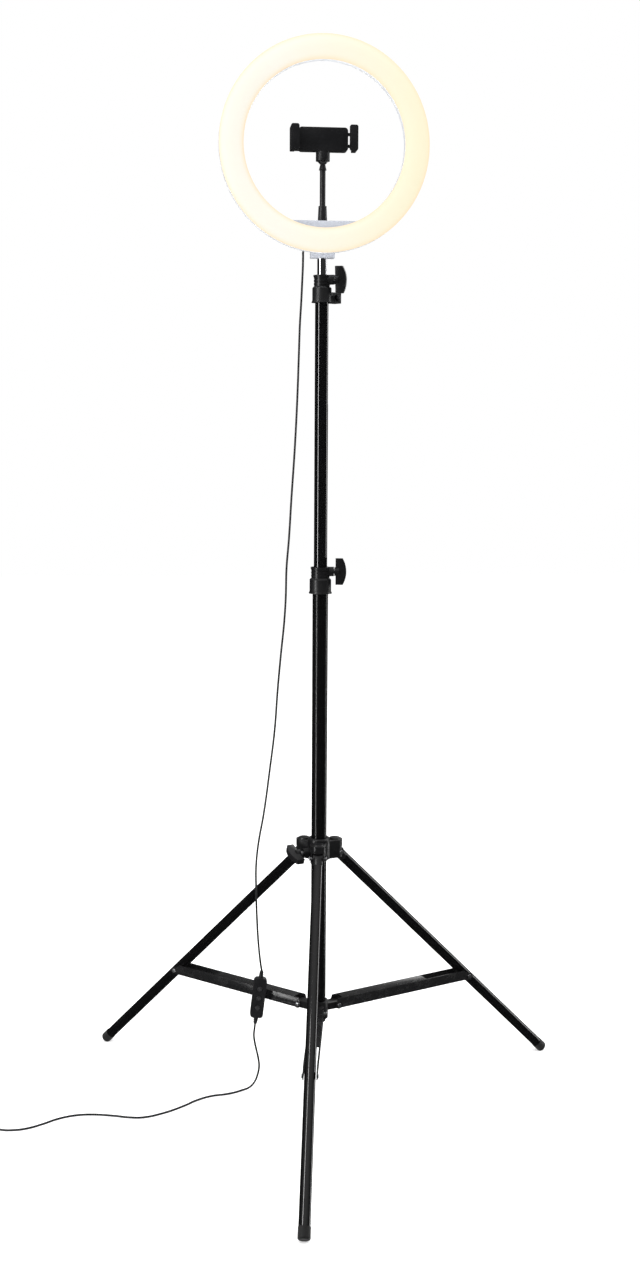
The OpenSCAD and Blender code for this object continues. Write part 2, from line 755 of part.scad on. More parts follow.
// Short strain relief; its end follows a circle around the pole, so the lamp can turn past the lead
module cable_gland() {
    color("white") intersection() {
        rotate([0, 0, gland_turn]) translate([0, 0, gland_z]) rotate([0, 90, 0]) {
            translate([0, 0, 6]) cylinder(d = gland_d, h = 10);
            translate([0, 0, 16 - eps]) cylinder(d1 = gland_d, d2 = cord_d + 1.4, h = gland_end_r - 16 + 1);
        }
        cylinder(r = gland_end_r - 0.05, h = 2000);
    }
}

// Stalk with its lower ferrule and neck; it turns in the base housing
module stalk() {
    color("black") translate([0, -1, base_top_z]) {
        translate([0, 0, -7]) cylinder(d = stalk_pin_d, h = 8);
        translate([0, 0, 0.1]) cylinder(d1 = ferrule_d, d2 = ferrule_small, h = ferrule_h);
        translate([0, 0, ferrule_h]) cylinder(d = stalk_d, h = stalk_len - ferrule_h - ball_d / 2 - 6);
    }
}

module ball_stud() {
    color("silver") translate([0, -1, ball_z]) {
        sphere(d = ball_d);
        translate([0, 0, -ball_d / 2 - 6 + eps]) cylinder(d1 = stalk_d + 2.4, d2 = stalk_d - 1, h = 6 + 1);
    }
}

// Clamp body: ball socket, back plate with two guide bores, and the fixed jaw
module clamp_body() {
    color("black") difference() {
        union() {
            translate([0, -1, ball_z - 2]) cylinder(d = socket_d, h = jaw_top + 3);
            translate([0, clamp_y + clamp_t, clamp_z + jaw_h / 2]) rotate([90, 0, 0])
                linear_extrude(clamp_t) round_box(jaw_gap - 6, jaw_h - 2, 4);
            translate([-jaw_gap / 2 - pad_t - jaw_t, clamp_y, clamp_z + 2])
                cube([pad_t + jaw_t + 10, clamp_t, jaw_h - 4]);
            jaw(-1);
        }
        translate([0, -1, ball_z]) sphere(d = ball_d + 0.2);
        for (h = [0.27, 0.73]) translate([-jaw_gap / 2 + 12, clamp_y + clamp_t / 2, clamp_z + h * jaw_h])
            rotate([0, 90, 0]) cylinder(d = rod_d + 2 * rod_gap, h = 100);
    }
}

// A jaw's wall and its inward lip, which has round corners; side is -1 left or 1 right
module jaw(side) {
    inner = jaw_gap / 2 + pad_t;
    middle_y = clamp_y + (clamp_t - jaw_reach) / 2;
    lip_in = inner - pad_t - jaw_lip;
    lip_w = inner + jaw_t + jaw_flare - lip_in;
    translate([side * inner, 0, clamp_z + jaw_h / 2]) rotate([90, 0, 90 * side]) linear_extrude(jaw_t)
        translate([side * middle_y, 0]) round_box(clamp_t + jaw_reach, jaw_h - 2, jaw_corner);
    translate([side * (lip_in + lip_w / 2), clamp_y - jaw_reach + jaw_lip_t, clamp_z + jaw_h / 2])
        rotate([90, 0, 0]) linear_extrude(jaw_lip_t + 0.3) round_box(lip_w, jaw_h, jaw_corner);
}

module moving_jaw() {
    color("black") jaw(1);
    color("silver") for (h = [0.27, 0.73])
        translate([jaw_gap / 2 + pad_t + eps - rod_in, clamp_y + clamp_t / 2, clamp_z + h * jaw_h])
            rotate([0, 90, 0]) cylinder(d = rod_d, h = rod_in);
}

module pad(side) {
    middle_y = clamp_y - jaw_reach / 2 + 1;
    color("dimgray") translate([side * (jaw_gap / 2 + pad_t / 2), middle_y, clamp_z + jaw_h / 2])
        cube([pad_t, jaw_reach - jaw_lip_t - 2.4, jaw_h - 6], center = true);
}
module fixed_pad() { pad(-1); }
module moving_pad() { pad(1); }

// Places pieces on the controller: local Z along its length, local -Y is its button face
module on_case() {
    translate(case_at) rotate([0, case_lean, 0]) children();
}

module case_body(inset) {
    rotate([90, 0, 0]) linear_extrude(case_t - 2 * inset, center = true)
        round_box(case_w - 2 * inset, case_len - 2 * inset, case_round - inset);
}

module button_places() {
    for (k = [0:2]) translate([0, 0, (1 - k) * button_pitch]) children();
}

module controller_case() {
    color("black") on_case() difference() {
        case_body(0);
        case_body(case_skin);
        translate([-50, 0, -50]) cube([100, 50, 100]);
        button_places() translate([0, -case_t / 2, 0]) cross_pin(button_d + 2 * button_gap, 2 * case_t - 12);
    }
}

module controller_cover() {
    color("black") on_case() difference() {
        case_body(0);
        case_body(case_skin);
        translate([-50, -50 + 0.05, -50]) cube([100, 50, 100]);
    }
}

module button(k) {
    color("dimgray") on_case() translate([0, 0, (1 - k) * button_pitch])
        translate([0, -case_t / 2 - button_out / 2 + case_skin / 2 + 0.4, 0])
        cross_pin(button_d, case_skin + button_out + 0.8);
}
module button_power() { button(0); }
module button_up() { button(1); }
module button_down() { button(2); }

module controller_reliefs() {
    color("black") on_case() for (s = [0, 180]) rotate([s, 0, 0]) translate([0, 0, case_len / 2]) {
        cylinder(d1 = relief_d, d2 = relief_tip_d, h = relief_len);
        for (k = [0:2]) translate([0, 0, 1.2 + k * 2.6]) cylinder(d = relief_d - k * 0.5, h = 1.3);
    }
}

module cord_upper() { color("black") sweep(smooth(upper_route, 1), cord_d); }
module cord_lower() { color("black") sweep(smooth(lower_route, 1), cord_d); }

// The spare lead, wound in a neat round coil
module cord_coil() {
    color("black") translate([coil_at[0], coil_at[1], tie_t]) rotate_extrude()
        translate([coil_r, coil_h / 2]) round_box(2 * coil_half, coil_h, 1.2);
}

// Hook-and-loop strap round the coil
module coil_tie() {
    color("black") translate([coil_at[0] - coil_r, coil_at[1], tie_t + coil_h / 2]) rotate([90, 0, 0])
        linear_extrude(tie_w, center = true) difference() {
            round_box(2 * (coil_half + tie_room + tie_t), coil_h + 2 * tie_t, 1.6);
            round_box(2 * (coil_half + tie_room), coil_h + 0.02, 0.8);
        }
}

// USB plug: moulded body, strain relief and metal shell
module usb_plug() {
    color("black") translate([plug_at[0], plug_at[1], plug_h / 2]) rotate([0, -90, 0]) {
        cylinder(d1 = 4, d2 = 5.6, h = plug_relief);
        translate([0, 0, plug_relief - eps]) linear_extrude(plug_len) round_box(plug_h, plug_w, 2);
        translate([0, 0, plug_relief + plug_len - 1]) linear_extrude(plug_shell[0] + 1)
            square([plug_shell[2], plug_shell[1]], center = true);
    }
}

module leg_front() { leg(0); }
module leg_right() { leg(1); }
module leg_left() { leg(2); }
module leg_end_front() { leg_end(0); }
module leg_end_right() { leg_end(1); }
module leg_end_left() { leg_end(2); }
module foot_front() { foot(0); }
module foot_right() { foot(1); }
module foot_left() { foot(2); }
module brace_front() { brace(0); }
module brace_right() { brace(1); }
module brace_left() { brace(2); }
module brace_rivet_front() { brace_rivet(0); }
module brace_rivet_right() { brace_rivet(1); }
module brace_rivet_left() { brace_rivet(2); }

column_tube();
column_plug();
lower_bracket();
bracket_rivets();
middle_collar();
middle_knob();
middle_screw();
mid_tube();
mid_bush();
top_collar();
clamp_bolt();
top_knob();
top_screw();
top_tube();
top_bush();
tripod_stud();
leg_hub();
hub_rivets();
hub_knob();
hub_screw();
leg_front();
leg_right();
leg_left();
leg_end_front();
leg_end_right();
leg_end_left();
foot_front();
foot_right();
foot_left();
brace_front();
brace_right();
brace_left();
brace_rivet_front();
brace_rivet_right();
brace_rivet_left();
ring_shell();
diffuser();
led_board();
led_chips();
base_housing();
base_cover();
socket_insert();
cable_gland();
stalk();
ball_stud();
clamp_body();
fixed_pad();
moving_jaw();
moving_pad();
controller_case();
controller_cover();
button_power();
button_up();
button_down();
controller_reliefs();
cord_upper();
cord_lower();
cord_coil();
coil_tie();
usb_plug();
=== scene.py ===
import json
import math
import bpy
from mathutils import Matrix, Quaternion, Vector


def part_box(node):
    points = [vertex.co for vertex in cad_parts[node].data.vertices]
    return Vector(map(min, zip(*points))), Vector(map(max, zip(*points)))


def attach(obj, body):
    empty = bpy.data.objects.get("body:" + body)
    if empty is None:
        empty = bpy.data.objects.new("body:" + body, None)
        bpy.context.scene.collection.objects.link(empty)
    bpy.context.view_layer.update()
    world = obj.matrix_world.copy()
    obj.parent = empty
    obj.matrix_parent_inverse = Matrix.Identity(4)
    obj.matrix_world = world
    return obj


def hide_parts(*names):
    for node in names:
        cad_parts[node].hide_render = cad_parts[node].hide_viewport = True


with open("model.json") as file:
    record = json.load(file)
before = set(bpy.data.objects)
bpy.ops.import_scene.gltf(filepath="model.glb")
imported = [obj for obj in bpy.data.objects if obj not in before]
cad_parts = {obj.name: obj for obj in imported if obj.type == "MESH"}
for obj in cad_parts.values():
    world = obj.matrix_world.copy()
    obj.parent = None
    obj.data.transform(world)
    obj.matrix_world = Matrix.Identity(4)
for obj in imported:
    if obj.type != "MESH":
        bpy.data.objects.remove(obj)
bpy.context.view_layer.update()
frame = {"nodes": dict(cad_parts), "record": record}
nodes = frame["nodes"]
bodyOf = {name: body for body, names in frame["record"]["behaviour"]["bodies"].items() for name in names}
slotOf = {part["node"]: part["material_slot"] for part in frame["record"]["subparts"]}
millimetre = 0.001
print("frame loaded:", len(nodes), "nodes")


# camera, first of all
cameraSetup = {
    "place": (-0.2027, -1.9283, 0.8861),
    "towards": (0.1045, 0.9945),    # compass direction the camera looks in
    "downwards": 7.87,              # degrees below the horizon
    "roll": 0.32,                   # degrees
    "lens": 43.8,
}


def makeCamera(setup):
    data = bpy.data.cameras.new("studioCamera")
    data.lens = setup["lens"]
    data.sensor_width = 36
    data.clip_start = 0.05
    data.clip_end = 60
    camera = bpy.data.objects.new("studioCamera", data)
    bpy.context.scene.collection.objects.link(camera)
    pitch = math.radians(setup["downwards"])
    flat = Vector((setup["towards"][0], setup["towards"][1], 0)).normalized()
    look = flat * math.cos(pitch) - Vector((0, 0, math.sin(pitch)))
    camera.rotation_mode = "QUATERNION"
    turn = look.to_track_quat("-Z", "Y")
    camera.rotation_quaternion = turn @ Quaternion((0, 0, 1), math.radians(setup["roll"]))
    camera.location = setup["place"]
    bpy.context.scene.camera = camera


makeCamera(cameraSetup)


# small helpers for modelling
def deselectAll():
    if bpy.context.object and bpy.context.object.mode != "OBJECT":
        bpy.ops.object.mode_set(mode="OBJECT")
    bpy.ops.object.select_all(action="DESELECT")


def activate(piece):
    deselectAll()
    piece.select_set(True)
    bpy.context.view_layer.objects.active = piece


def settle(piece, name):
    # the place goes into the mesh, so the object ends at the origin
    activate(piece)
    piece.name = name
    bpy.ops.object.transform_apply(location=True, rotation=True, scale=True)
    return piece


def facing(direction):
    # turns a primitive's own Z axis to a direction
    return Vector(direction).normalized().to_track_quat("Z", "Y").to_euler()


def leaveEdit():
    bpy.ops.object.mode_set(mode="OBJECT")


def applyBevel(piece, width, segments=2, angle=35):
    activate(piece)
    bevel = piece.modifiers.new("edges", "BEVEL")
    bevel.width = width
    bevel.segments = segments
    bevel.limit_method = "ANGLE"
    bevel.angle_limit = math.radians(angle)
    bevel.use_clamp_overlap = True
    bpy.ops.object.modifier_apply(modifier="edges")


def smoothByAngle(piece, angle=35):
    activate(piece)
    bpy.ops.object.shade_smooth_by_angle(angle=math.radians(angle))


def finishPiece(piece, material, body, stands=()):
    piece.data.materials.clear()
    piece.data.materials.append(material)
    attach(piece, body)
    if stands:
        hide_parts(*stands)
    return piece


def rod(name, start, end, radius, sides=32, farRadius=None):
    # a round bar or a cone from one point to another
    start, end = Vector(start), Vector(end)
    deselectAll()
    bpy.ops.mesh.primitive_cone_add(vertices=sides, radius1=radius, radius2=farRadius or radius,
                                    depth=(end - start).length, location=(start + end) / 2,
                                    rotation=facing(end - start))
    return settle(bpy.context.object, name)


def joinPieces(name, pieces):
    deselectAll()
    for piece in pieces:
        piece.select_set(True)
    bpy.context.view_layer.objects.active = pieces[0]
    if len(pieces) > 1:
        bpy.ops.object.join()
    pieces[0].name = name
    return pieces[0]


# shader writing
class Wire:
    # a value on a node's socket, on which sums are written out plainly
    def __init__(self, finish, socket):
        self.finish = finish
        self.socket = socket

    def sum(self, operation, first, second=0.0):
        return self.finish.node("Math", {"operation": operation}, {0: first, 1: second})

    def __add__(self, other):
        return self.sum("ADD", self, other)

    __radd__ = __add__

    def __sub__(self, other):
        return self.sum("SUBTRACT", self, other)

    def __mul__(self, other):
        return self.sum("MULTIPLY", self, other)

    __rmul__ = __mul__

    def __pow__(self, other):
        return self.sum("POWER", self, other)

    def __abs__(self):
        return self.sum("ABSOLUTE", self)


class Finish:
    # one material: its principled shader, and one method that makes every other node
    def __init__(self, name, **fixed):
        self.material = bpy.data.materials.new(name)
        self.material.use_nodes = True
        self.tree = self.material.node_tree
        self.shader = self.tree.nodes["Principled BSDF"]
        for socket, value in fixed.items():
            self.shader.inputs[socket.replace("_", " ")].default_value = value
        self.place = self.node("TexCoord", output="Object")

    def node(self, kind, settings=None, sockets=None, output=0):
        made = self.tree.nodes.new("ShaderNode" + kind)
        for name, value in (settings or {}).items():
            setattr(made, name, value)
        for name, value in (sockets or {}).items():
            self.feed(made.inputs[name], value)
        return Wire(self, made.outputs[output])

    def feed(self, socket, value):
        if isinstance(value, Wire):
            self.tree.links.new(value.socket, socket)
        else:
            socket.default_value = value

    def set(self, socket, value):
        self.feed(self.shader.inputs[socket], value)

    def noise(self, scale, detail=3.0, roughness=0.55, at=None):
        return self.node("TexNoise", {}, {"Vector": at or self.place, "Scale": scale, "Detail": detail,
                                          "Roughness": roughness})

    def between(self, mask, low, high):
        # a colour that runs from low to high as the mask runs from 0 to 1
        return self.node("Mix", {"data_type": "RGBA"}, {"Factor": mask, 6: low, 7: high}, output=2)

    def spread(self, value, low, high, outLow=0.0, outHigh=1.0):
        return self.node("MapRange", {"clamp": True}, {"Value": value, "From Min": low, "From Max": high,
                                                       "To Min": outLow, "To Max": outHigh})

    def bump(self, height, strength, distance):
        self.set("Normal", self.node("Bump", {}, {"Height": height, "Strength": strength,
                                                  "Distance": distance}))


def shade(color, factor=1.0):
    return (color[0] * factor, color[1] * factor, color[2] * factor, 1.0)


# finishes
def moulded(name, color, roughness, grain=2600, depth=0.00003, cloud=35, lighter=1.35, **fixed):
    # moulded plastic: a fine spark-eroded grain, faint clouding, and duller handled patches
    finish = Finish(name, **fixed)
    cloudMask = finish.spread(finish.noise(cloud, 4.0), 0.35, 0.68)
    speck = finish.spread(finish.noise(grain * 0.35, 2.0), 0.4, 0.7)
    base = finish.between(cloudMask, shade(color), shade(color, lighter))
    finish.set("Base Color", finish.between(speck * 0.35, base, shade(color, 0.75)))
    finish.set("Roughness", finish.spread(cloudMask * 0.7 + speck * 0.3, 0.0, 1.0, roughness - 0.05,
                                          roughness + 0.09))
    finish.bump(finish.noise(grain, 2.0), 0.35, depth)
    return finish.material


def paintedTube(name, gloss):
    # black powder coat: soft orange peel, with faint rub marks that run round the tube
    finish = Finish(name, IOR=gloss["index"], Coat_Roughness=0.03)
    peel = finish.noise(300, 2.0)
    along = finish.node("Mapping", {}, {"Vector": finish.place, "Scale": (0.4, 0.4, 9.0)})
    rub = finish.spread(finish.noise(60, 5.0, 0.7, along), 0.52, 0.72)
    dust = finish.spread(finish.noise(900, 2.0), 0.62, 0.74)
    base = finish.between(rub * 0.5, (0.0018, 0.0018, 0.002, 1), (0.0055, 0.0055, 0.006, 1))
    finish.set("Base Color", finish.between(dust * 0.2, base, (0.02, 0.02, 0.02, 1)))
    finish.set("Roughness", rub * 0.05 + dust * 0.03 + gloss["roughness"])
    finish.set("Coat Weight", rub * -0.5 * gloss["coat"] + gloss["coat"])
    finish.bump(peel + rub * 0.2, 0.03, 0.000006)
    return finish.material


def foldedSteel(name):
    # the braces' sheet: satin black, a little lighter where it has been rubbed
    finish = Finish(name, IOR=1.45, Coat_Weight=0.1, Coat_Roughness=0.2)
    rub = finish.spread(finish.noise(70, 6.0, 0.7), 0.5, 0.75)
    finish.set("Base Color", finish.between(rub, (0.008, 0.008, 0.0085, 1), (0.018, 0.018, 0.0185, 1)))
    finish.set("Roughness", rub * 0.12 + 0.24)
    finish.bump(finish.noise(500, 2.0), 0.15, 0.00003)
    return finish.material


def chromePlate(name):
    finish = Finish(name, Metallic=1.0)
    along = finish.node("Mapping", {}, {"Vector": finish.place, "Scale": (1.0, 1.0, 0.02)})
    draw = finish.noise(900, 3.0, 0.6, along)
    smear = finish.spread(finish.noise(45, 4.0), 0.45, 0.75)
    finish.set("Base Color", finish.between(smear, (0.8, 0.8, 0.82, 1), (0.7, 0.7, 0.72, 1)))
    finish.set("Roughness", smear * 0.08 + 0.07)
    finish.bump(draw, 0.12, 0.00002)
    return finish.material


def zincSteel(name, color=(0.66, 0.66, 0.68), roughness=0.24):
    # turned or pressed steel with a bright zinc coat
    finish = Finish(name, Metallic=1.0)
    patch = finish.node("TexVoronoi", {"feature": "F1"}, {"Vector": finish.place, "Scale": 900.0})
    smear = finish.spread(finish.noise(160, 4.0), 0.4, 0.75)
    finish.set("Base Color", finish.between(smear, shade(color), shade(color, 0.82)))
    finish.set("Roughness", smear * 0.14 + patch * 0.08 + roughness)
    finish.bump(finish.noise(1500, 3.0), 0.2, 0.00003)
    return finish.material


def turnedBrass(name):
    finish = Finish(name, Metallic=1.0)
    around = finish.node("Mapping", {}, {"Vector": finish.place, "Scale": (0.05, 0.05, 1.0)})
    ring = finish.node("TexNoise", {}, {"Vector": around, "Scale": 2500.0, "Detail": 2.0})
    finish.set("Base Color", finish.between(ring, (0.72, 0.52, 0.22, 1), (0.85, 0.66, 0.33, 1)))
    finish.set("Roughness", ring * 0.15 + 0.2)
    finish.bump(ring, 0.2, 0.00003)
    return finish.material


def softRubber(name, color, roughness=0.6):
    finish = Finish(name, Specular_IOR_Level=0.35, Sheen_Weight=0.15, Sheen_Roughness=0.5)
    dust = finish.spread(finish.noise(220, 5.0, 0.65), 0.45, 0.75)
    finish.set("Base Color", finish.between(dust, shade(color), shade(color, 2.2)))
    finish.set("Roughness", dust * 0.15 + roughness)
    finish.bump(finish.noise(1800, 3.0), 0.3, 0.00005)
    return finish.material


def opalDiffuser(name, lamp):
    # lit opal plastic: near white along its crown, creamier to the right, amber at both edges
    finish = Finish(name, Roughness=0.45, Emission_Strength=lamp["glow"], Coat_Weight=0.05,
                    Coat_Roughness=0.3)
    middle, reach = lamp["middleRadius"], lamp["halfWidth"]
    spot = finish.node("SeparateXYZ", {}, {"Vector": finish.place})
    across = Wire(finish, spot.socket.node.outputs["X"])
    height = Wire(finish, spot.socket.node.outputs["Z"]) - lamp["centre"]
    radius = (across * across + height * height) ** 0.5
    edge = finish.spread(abs(radius - middle), reach * 0.45, reach, 0.0, 1.0) ** 2.6
    side = finish.spread(across, -0.06, 0.115, 0.0, 1.0)
    cloud = finish.noise(30, 3.0)
    core = finish.between(side * 0.85 + cloud * 0.15, lamp["coolCore"], lamp["warmCore"])
    finish.set("Emission Color", finish.between(edge, core, lamp["edge"]))
    finish.set("Base Color", finish.between(edge, (0.17, 0.16, 0.14, 1), (0.2, 0.16, 0.12, 1)))
    finish.bump(finish.noise(1400, 2.0), 0.1, 0.00002)
    return finish.material


def cordJacket(name):
    # soft vinyl jacket: satin, with a faint ripple from the wires' lay inside it
    finish = Finish(name, Specular_IOR_Level=0.45)
    dust = finish.spread(finish.noise(300, 4.0), 0.45, 0.75)
    finish.set("Base Color", finish.between(dust, (0.01, 0.01, 0.011, 1), (0.022, 0.022, 0.024, 1)))
    finish.set("Roughness", dust * 0.12 + 0.38)
    finish.bump(finish.noise(700, 2.0), 0.25, 0.00005)
    return finish.material


def hookAndLoop(name):
    finish = Finish(name, Sheen_Weight=0.4, Sheen_Roughness=0.5, Specular_IOR_Level=0.2)
    loops = finish.node("TexVoronoi", {"feature": "F1"}, {"Vector": finish.place, "Scale": 1500.0})
    finish.set("Base Color", finish.between(loops, (0.006, 0.006, 0.0065, 1), (0.03, 0.03, 0.031, 1)))
    finish.set("Roughness", loops * 0.2 + 0.75)
    finish.bump(loops, 0.8, 0.0002)
    return finish.material


def circuitBoard(name):
    # white solder mask, with a copper ring of tracks showing faintly through it
    finish = Finish(name, Roughness=0.35)
    track = finish.node("TexVoronoi", {"feature": "DISTANCE_TO_EDGE"},
                        {"Vector": finish.place, "Scale": 130.0})
    line = finish.spread(track, 0.02, 0.06, 1.0, 0.0)
    finish.set("Base Color", finish.between(line * 0.5, (0.84, 0.85, 0.83, 1), (0.7, 0.72, 0.66, 1)))
    finish.bump(line, 0.3, 0.00004)
    return finish.material


def phosphor(name):
    finish = Finish(name, Roughness=0.3, Emission_Strength=2.0)
    finish.set("Base Color", finish.between(finish.noise(2000), (0.9, 0.72, 0.2, 1), (0.95, 0.82, 0.35, 1)))
    finish.set("Emission Color", (1.0, 0.9, 0.66, 1))
    return finish.material


def studioFloor(name):
    finish = Finish(name, Roughness=0.7, Specular_IOR_Level=0.1, Emission_Strength=0.35)
    finish.set("Base Color", finish.between(finish.noise(3.0), (0.9, 0.9, 0.9, 1), (0.93, 0.93, 0.93, 1)))
    finish.set("Emission Color", (1.0, 1.0, 1.0, 1))
    return finish.material


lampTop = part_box("ring_shell")[1]
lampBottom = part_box("ring_shell")[0]
lampLook = {
    "glow": 0.76,
    "centre": (lampTop.z + lampBottom.z) / 2,
    "middleRadius": 0.11225,
    "halfWidth": 0.01475,
    "coolCore": (1.0, 0.975, 0.89, 1),
    "warmCore": (1.0, 0.925, 0.62, 1),
    "edge": (1.0, 0.8, 0.52, 1),
}
finishes = {
    "pole_black": paintedTube("glossBlackTube", {"index": 1.5, "roughness": 0.055, "coat": 0.4}),
    "pole_bright": paintedTube("brightBlackTube", {"index": 1.55, "roughness": 0.06, "coat": 0.5}),
    "pole_satin": paintedTube("satinBlackTube", {"index": 1.4, "roughness": 0.24, "coat": 0.0}),
    "brace_black": foldedSteel("satinBlackSheet"),
    "plastic_black": moulded("mouldedBlack", (0.0055, 0.0055, 0.006), 0.33),
    "knob_black": moulded("knobBlack", (0.005, 0.005, 0.0055), 0.3, grain=3000),
    "rubber_black": softRubber("footRubber", (0.004, 0.004, 0.004)),
    "chrome": chromePlate("chromePole"),
    "steel_bright": zincSteel("brightZinc"),
    "bolt_dark": zincSteel("darkBolt", (0.16, 0.16, 0.17), 0.3),
    "bush_white": moulded("nylonBush", (0.78, 0.78, 0.74), 0.45, lighter=1.05),
    "brass": turnedBrass("turnedBrass"),
    "lamp_white": moulded("lampWhite", (0.74, 0.76, 0.79), 0.3, grain=2200, depth=0.00002, lighter=1.04,
                          Coat_Weight=0.1, Coat_Roughness=0.25),
    # the base's white plastic with painted shade: a darker, bluer copy of the lamp's white, standing in for
    # the shade on the base behind the ring
    "base_white_in_painted_shade": moulded("baseWhiteInPaintedShade", (0.5, 0.52, 0.57), 0.35, grain=2200, depth=0.00002, lighter=1.04),
    "opal_warm": opalDiffuser("litOpal", lampLook),
    "board_white": circuitBoard("ledBoard"),
    "led_yellow": phosphor("ledPhosphor"),
    "clamp_black": moulded("clampBlack", (0.006, 0.006, 0.007), 0.4, grain=2000, depth=0.00005),
    "pad_grey": softRubber("clampPad", (0.015, 0.015, 0.016), 0.7),
    "controller_black": moulded("controllerBlack", (0.008, 0.008, 0.009), 0.38, grain=2400),
    "button_grey": softRubber("buttonSilicone", (0.014, 0.014, 0.015), 0.5),
    "lead_black": cordJacket("leadJacket"),
    "tie_black": hookAndLoop("hookAndLoopTie"),
}
print("finishes made:", len(finishes))


# the lead: the two routes, and the coil's turns
leadSetup = {
    "diameter": 0.0026,
    "upperLength": 0.941,       # lamp to controller
    "lowerLength": 1.111,       # controller to plug, coil included
    "coilCentre": (-444, -52),
    # radius and height of the turns, in the order they are wound
    "coilCells": [(18.2, 2.2), (15.5, 2.2), (12.8, 2.2), (12.8, 5.0), (15.5, 5.0), (18.2, 5.0),
                  (18.2, 7.8)],
    "stepsPerTurn": 24,
    "crossing": 35,             # degrees in which a turn crosses to its next place
}
upperRoute = [
    (-16.4, 16.4, 1096.7), (-19, 19, 1096.6), (-21, 22.5, 1094.5), (-21, 26, 1088), (-21, 29, 1076),
    (-21.5, 31, 1060), (-22.5, 33, 1034), (-24, 34, 1006), (-25, 34, 974), (-27, 34, 913), (-30, 34, 851),
    (-34, 34, 789), (-37, 34, 738), (-40, 34, 700), (-41, 33, 662), (-43, 33, 630), (-47, 33, 590),
    (-51, 33, 545), (-55, 33, 490), (-61, 33, 440), (-69, 33, 380), (-76, 33, 340), (-79, 33, 310),
    (-79, 33, 280), (-78, 32, 240), (-76, 32, 205), (-73, 32, 176), (-71.6, 32, 167.3)]
lowerRoute = [
    (-80.4, 32, 94.7), (-81.2, 32, 88), (-82, 33, 78), (-80, 33, 64), (-76, 33, 45),
    (-75, 34, 34), (-77, 35, 22), (-81, 35, 12), (-88, 35, 4.5), (-98, 33, 1.8), (-110, 27, 1.4),
    (-122, 23, 1.4), (-138, 20, 1.4), (-158, 9, 1.4), (-176, -7, 1.4), (-203, -26, 1.4),
    (-229, -36, 1.4), (-247, -34, 1.4), (-265, -28, 1.4), (-299, -21, 1.4), (-319, -23, 1.4),
    (-338, -31, 1.4), (-356, -44, 1.4), (-374, -54, 1.4), (-390, -57, 1.4), (-407, -54, 1.4),
    (-419, -43, 1.4), (-431, -36, 1.8), (-444, -33.8, 2.2)]
plugRoute = [(-451, -33.3, 7.2), (-458, -33, 5.6), (-464, -33, 4.3), (-468, -33, 4.0)]


def coilTurns(setup):
    # whole turns from +Y round by -X; each crosses to the next place once the turn ahead has left it
    cells, steps, crossing = setup["coilCells"], setup["stepsPerTurn"], setup["crossing"]
    turns = len(cells) - 1
    points = []
    for step in range(1, turns * steps + 1):
        turn, part = divmod(step, steps)
        if turn == turns:
            turn, part = turns - 1, steps
        angle = 360 * part / steps
        leaves = 360 - crossing * (turn + 1)
        share = min(max((angle - leaves) / crossing, 0), 1)
        share = share * share * (3 - 2 * share)
        here, ahead = cells[turn], cells[turn + 1]
        radius = here[0] + (ahead[0] - here[0]) * share
        height = here[1] + (ahead[1] - here[1]) * share
        turned = math.radians(90 + angle)
        points.append((setup["coilCentre"][0] + radius * math.cos(turned),
                       setup["coilCentre"][1] + radius * math.sin(turned), height))
    return points


def makeCord(name, points, diameter):
    curve = bpy.data.curves.new(name, "CURVE")
    curve.dimensions = "3D"
    curve.bevel_depth = diameter / 2
    curve.bevel_resolution = 4
    curve.resolution_u = 6
    curve.use_fill_caps = True
    spline = curve.splines.new("BEZIER")
    spline.bezier_points.add(len(points) - 1)
    for knot, point in zip(spline.bezier_points, points):
        knot.co = Vector(point) * millimetre
        knot.handle_left_type = knot.handle_right_type = "AUTO"
    cord = bpy.data.objects.new(name, curve)
    bpy.context.scene.collection.objects.link(cord)
    return cord


coilPoints = coilTurns(leadSetup)
upperLead = makeCord("leadToController", upperRoute, leadSetup["diameter"])
lowerLead = makeCord("leadToPlug", lowerRoute + coilPoints + plugRoute, leadSetup["diameter"])
for lead, stands in ((upperLead, ["cord_upper"]), (lowerLead, ["cord_lower", "cord_coil"])):
    finishPiece(lead, finishes["lead_black"], "column", stands)
print("lead laid: points", len(upperRoute), len(lowerRoute) + len(coilPoints) + len(plugRoute))


# stand, lamp and clamp: the frame's pieces with softened edges
edgeSetup = {
    # node: width of its rounded edges in millimetres
    "column_plug": 0.4, "lower_bracket": 0.8, "middle_collar": 0.45, "top_collar": 0.4, "leg_hub": 0.9,
    "middle_knob": 1.5, "top_knob": 1.5, "hub_knob": 1.5, "bracket_rivets": 0.55, "hub_rivets": 0.55,
    "brace_rivet_front": 0.55, "brace_rivet_right": 0.55, "brace_rivet_left": 0.55,
    "brace_front": 0.3, "brace_right": 0.3, "brace_left": 0.3, "clamp_bolt": 0.4,
    "leg_end_front": 0.6, "leg_end_right": 0.6, "leg_end_left": 0.6,
    "ring_shell": 0.7, "base_housing": 0.8, "base_cover": 0.7, "cable_gland": 0.3,
    "stalk": 0.4, "clamp_body": 0.9, "moving_jaw": 0.7, "fixed_pad": 0.4, "moving_pad": 0.4,
    "controller_case": 0.7, "controller_cover": 0.7, "controller_reliefs": 0.25,
    "button_power": 0.5, "button_up": 0.5, "button_down": 0.5, "coil_tie": 0.25,
}


keptWhole = ("leg_hub",)        # merging flat faces here folds some of them across the bore


def softened(name, width):
    # a copy of a frame piece, cleaned and given rounded edges
    piece = bpy.data.objects.new(name + "_soft", nodes[name].data.copy())
    bpy.context.scene.collection.objects.link(piece)
    activate(piece)
    bpy.ops.mesh.customdata_custom_splitnormals_clear()
    bpy.ops.object.mode_set(mode="EDIT")
    bpy.ops.mesh.select_all(action="SELECT")
    bpy.ops.mesh.remove_doubles(threshold=0.000004)
    if name not in keptWhole:
        bpy.ops.mesh.dissolve_limited(angle_limit=math.radians(0.8))
    leaveEdit()
    applyBevel(piece, width * millimetre, 3)
    smoothByAngle(piece, 32)
    return piece


